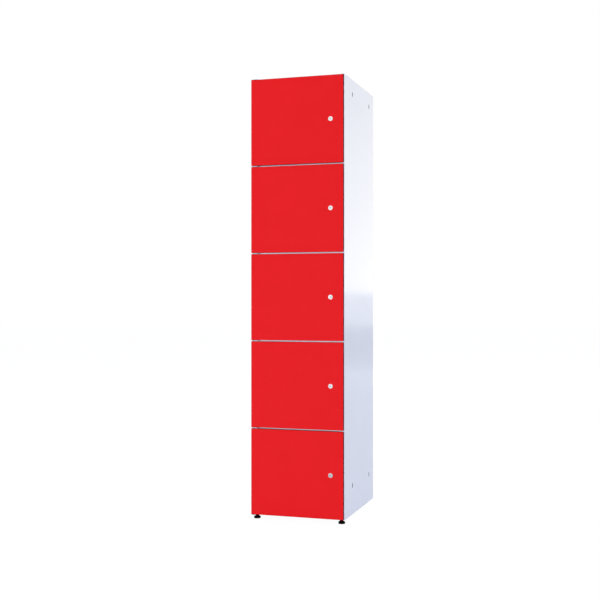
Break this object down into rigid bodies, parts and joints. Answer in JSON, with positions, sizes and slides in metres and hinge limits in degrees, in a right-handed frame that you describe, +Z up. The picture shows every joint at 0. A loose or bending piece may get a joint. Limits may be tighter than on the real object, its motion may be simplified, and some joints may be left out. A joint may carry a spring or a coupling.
{
  "type": "storage locker",
  "caption": "Tall narrow steel locker with a column of flat overlay doors, each on concealed pivots with its own cam lock, standing on levelling feet.",
  "frame": {"origin": "on the floor, under the middle of the footprint", "axes": "+Z up; the doors face -Y; +X is the right side seen from the front, where the locks are"},
  "size_m": [0.395, 0.5092, 1.8165],
  "materials": {
    "white_powder_coat": "white powder coat, semi-gloss",
    "red_laminate": "red compact laminate with a black core, satin",
    "chrome_plate": "satin chrome",
    "zinc_plated_steel": "zinc plated",
    "black_nylon": "moulded, matt"
  },
  "bodies": {
    "cabinet": {"left_side_panel": "white_powder_coat", "right_side_panel": "white_powder_coat", "back_panel": "white_powder_coat", "top_panel": "white_powder_coat", "base_panel": "white_powder_coat", "shelf_1": "white_powder_coat", "shelf_2": "white_powder_coat", "shelf_3": "white_powder_coat", "shelf_4": "white_powder_coat", "pivot_bracket_1": "white_powder_coat", "pivot_bracket_2": "white_powder_coat", "pivot_bracket_3": "white_powder_coat", "pivot_bracket_4": "white_powder_coat", "pivot_bracket_5": "white_powder_coat", "pivot_bracket_6": "white_powder_coat", "pivot_pin_1": "zinc_plated_steel", "pivot_pin_2": "zinc_plated_steel", "pivot_pin_3": "zinc_plated_steel", "pivot_pin_4": "zinc_plated_steel", "pivot_pin_5": "zinc_plated_steel", "pivot_pin_6": "zinc_plated_steel"},
    "door_leaf_1": {"door_1": "red_laminate", "lock_housing_1": "chrome_plate", "lock_nut_1": "zinc_plated_steel"},
    "lock_core_1": {"lock_plug_1": "chrome_plate", "lock_cam_1": "zinc_plated_steel", "cam_screw_1": "zinc_plated_steel"},
    "door_leaf_2": {"door_2": "red_laminate", "lock_housing_2": "chrome_plate", "lock_nut_2": "zinc_plated_steel"},
    "lock_core_2": {"lock_plug_2": "chrome_plate", "lock_cam_2": "zinc_plated_steel", "cam_screw_2": "zinc_plated_steel"},
    "door_leaf_3": {"door_3": "red_laminate", "lock_housing_3": "chrome_plate", "lock_nut_3": "zinc_plated_steel"},
    "lock_core_3": {"lock_plug_3": "chrome_plate", "lock_cam_3": "zinc_plated_steel", "cam_screw_3": "zinc_plated_steel"},
    "door_leaf_4": {"door_4": "red_laminate", "lock_housing_4": "chrome_plate", "lock_nut_4": "zinc_plated_steel"},
    "lock_core_4": {"lock_plug_4": "chrome_plate", "lock_cam_4": "zinc_plated_steel", "cam_screw_4": "zinc_plated_steel"},
    "door_leaf_5": {"door_5": "red_laminate", "lock_housing_5": "chrome_plate", "lock_nut_5": "zinc_plated_steel"},
    "lock_core_5": {"lock_plug_5": "chrome_plate", "lock_cam_5": "zinc_plated_steel", "cam_screw_5": "zinc_plated_steel"},
    "foot_front_left": {"foot_pad_front_left": "black_nylon"},
    "foot_screw_front_left": {"foot_stud_front_left": "zinc_plated_steel"},
    "foot_rear_left": {"foot_pad_rear_left": "black_nylon"},
    "foot_screw_rear_left": {"foot_stud_rear_left": "zinc_plated_steel"},
    "foot_front_right": {"foot_pad_front_right": "black_nylon"},
    "foot_screw_front_right": {"foot_stud_front_right": "zinc_plated_steel"},
    "foot_rear_right": {"foot_pad_rear_right": "black_nylon"},
    "foot_screw_rear_right": {"foot_stud_rear_right": "zinc_plated_steel"}
  },
  "joints": [
    {"name": "door_1_hinge", "type": "hinge", "parent": "cabinet", "child": "door_leaf_1", "pos_m": [-0.1919, -0.24785, 1.6353], "axis": [0, 0, -1], "range_deg": [0, 110]},
    {"name": "lock_1_turn", "type": "hinge", "parent": "door_leaf_1", "child": "lock_core_1", "pos_m": [0.1434, -0.25285, 1.6353], "axis": [0, -1, 0], "range_deg": [0, 90]},
    {"name": "door_2_hinge", "type": "hinge", "parent": "cabinet", "child": "door_leaf_2", "pos_m": [-0.1919, -0.24785, 1.2759], "axis": [0, 0, -1], "range_deg": [0, 110]},
    {"name": "lock_2_turn", "type": "hinge", "parent": "door_leaf_2", "child": "lock_core_2", "pos_m": [0.1434, -0.25285, 1.2759], "axis": [0, -1, 0], "range_deg": [0, 90]},
    {"name": "door_3_hinge", "type": "hinge", "parent": "cabinet", "child": "door_leaf_3", "pos_m": [-0.1919, -0.24785, 0.9165], "axis": [0, 0, -1], "range_deg": [0, 110]},
    {"name": "lock_3_turn", "type": "hinge", "parent": "door_leaf_3", "child": "lock_core_3", "pos_m": [0.1434, -0.25285, 0.9165], "axis": [0, -1, 0], "range_deg": [0, 90]},
    {"name": "door_4_hinge", "type": "hinge", "parent": "cabinet", "child": "door_leaf_4", "pos_m": [-0.1919, -0.24785, 0.5571], "axis": [0, 0, -1], "range_deg": [0, 110]},
    {"name": "lock_4_turn", "type": "hinge", "parent": "door_leaf_4", "child": "lock_core_4", "pos_m": [0.1434, -0.25285, 0.5571], "axis": [0, -1, 0], "range_deg": [0, 90]},
    {"name": "door_5_hinge", "type": "hinge", "parent": "cabinet", "child": "door_leaf_5", "pos_m": [-0.1919, -0.24785, 0.1977], "axis": [0, 0, -1], "range_deg": [0, 110]},
    {"name": "lock_5_turn", "type": "hinge", "parent": "door_leaf_5", "child": "lock_core_5", "pos_m": [0.1434, -0.25285, 0.1977], "axis": [0, -1, 0], "range_deg": [0, 90]},
    {"name": "foot_front_left_height", "type": "slide", "parent": "cabinet", "child": "foot_front_left", "axis": [0, 0, -1], "range_m": [0, 0.012]},
    {"name": "foot_front_left_thread", "type": "hinge", "parent": "foot_front_left", "child": "foot_screw_front_left", "pos_m": [-0.1815, -0.22035, 0.02], "axis": [0, 0, -1], "range_deg": [0, 3456]},
    {"name": "foot_rear_left_height", "type": "slide", "parent": "cabinet", "child": "foot_rear_left", "axis": [0, 0, -1], "range_m": [0, 0.012]},
    {"name": "foot_rear_left_thread", "type": "hinge", "parent": "foot_rear_left", "child": "foot_screw_rear_left", "pos_m": [-0.1595, 0.23465, 0.02], "axis": [0, 0, -1], "range_deg": [0, 3456]},
    {"name": "foot_front_right_height", "type": "slide", "parent": "cabinet", "child": "foot_front_right", "axis": [0, 0, -1], "range_m": [0, 0.012]},
    {"name": "foot_front_right_thread", "type": "hinge", "parent": "foot_front_right", "child": "foot_screw_front_right", "pos_m": [0.1815, -0.22035, 0.02], "axis": [0, 0, -1], "range_deg": [0, 3456]},
    {"name": "foot_rear_right_height", "type": "slide", "parent": "cabinet", "child": "foot_rear_right", "axis": [0, 0, -1], "range_m": [0, 0.012]},
    {"name": "foot_rear_right_thread", "type": "hinge", "parent": "foot_rear_right", "child": "foot_screw_rear_right", "pos_m": [0.1595, 0.23465, 0.02], "axis": [0, 0, -1], "range_deg": [0, 3456]}
  ],
  "couplings": [
    {"joint": "foot_front_left_thread", "follows": "foot_front_left_height", "rad_per_m": 5026.5},
    {"joint": "foot_rear_left_thread", "follows": "foot_rear_left_height", "rad_per_m": 5026.5},
    {"joint": "foot_front_right_thread", "follows": "foot_front_right_height", "rad_per_m": 5026.5},
    {"joint": "foot_rear_right_thread", "follows": "foot_rear_right_height", "rad_per_m": 5026.5}
  ]
}
